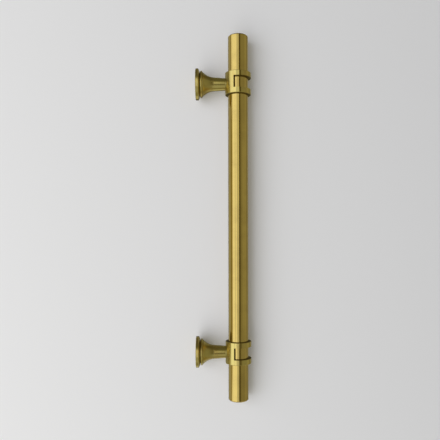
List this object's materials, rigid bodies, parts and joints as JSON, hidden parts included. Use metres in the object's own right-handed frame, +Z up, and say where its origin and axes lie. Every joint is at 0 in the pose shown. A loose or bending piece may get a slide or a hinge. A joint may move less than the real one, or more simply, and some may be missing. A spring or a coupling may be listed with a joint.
{
  "type": "door pull handle",
  "caption": "Straight round bar pull in brass for a door, carried on turned posts with flared feet, round roses and windowed collars that wrap the bar.",
  "frame": {"origin": "on the door's face, in the plane of the roses' backs, midway between the fixing screws of the upper and lower posts", "axes": "+X out from the door towards the bar, +Z up along the bar, +Y across the door's face"},
  "size_m": [0.0528, 0.0296, 0.348],
  "materials": {
    "brass": "polished, unlacquered",
    "steel": "zinc plated, hidden inside the posts"
  },
  "bodies": {
    "root": {"bar": "brass", "upper_collar": "brass", "lower_collar": "brass", "upper_stem": "brass", "lower_stem": "brass", "upper_rose": "brass", "lower_rose": "brass", "upper_joining_stud": "steel", "lower_joining_stud": "steel"}
  },
  "joints": []
}
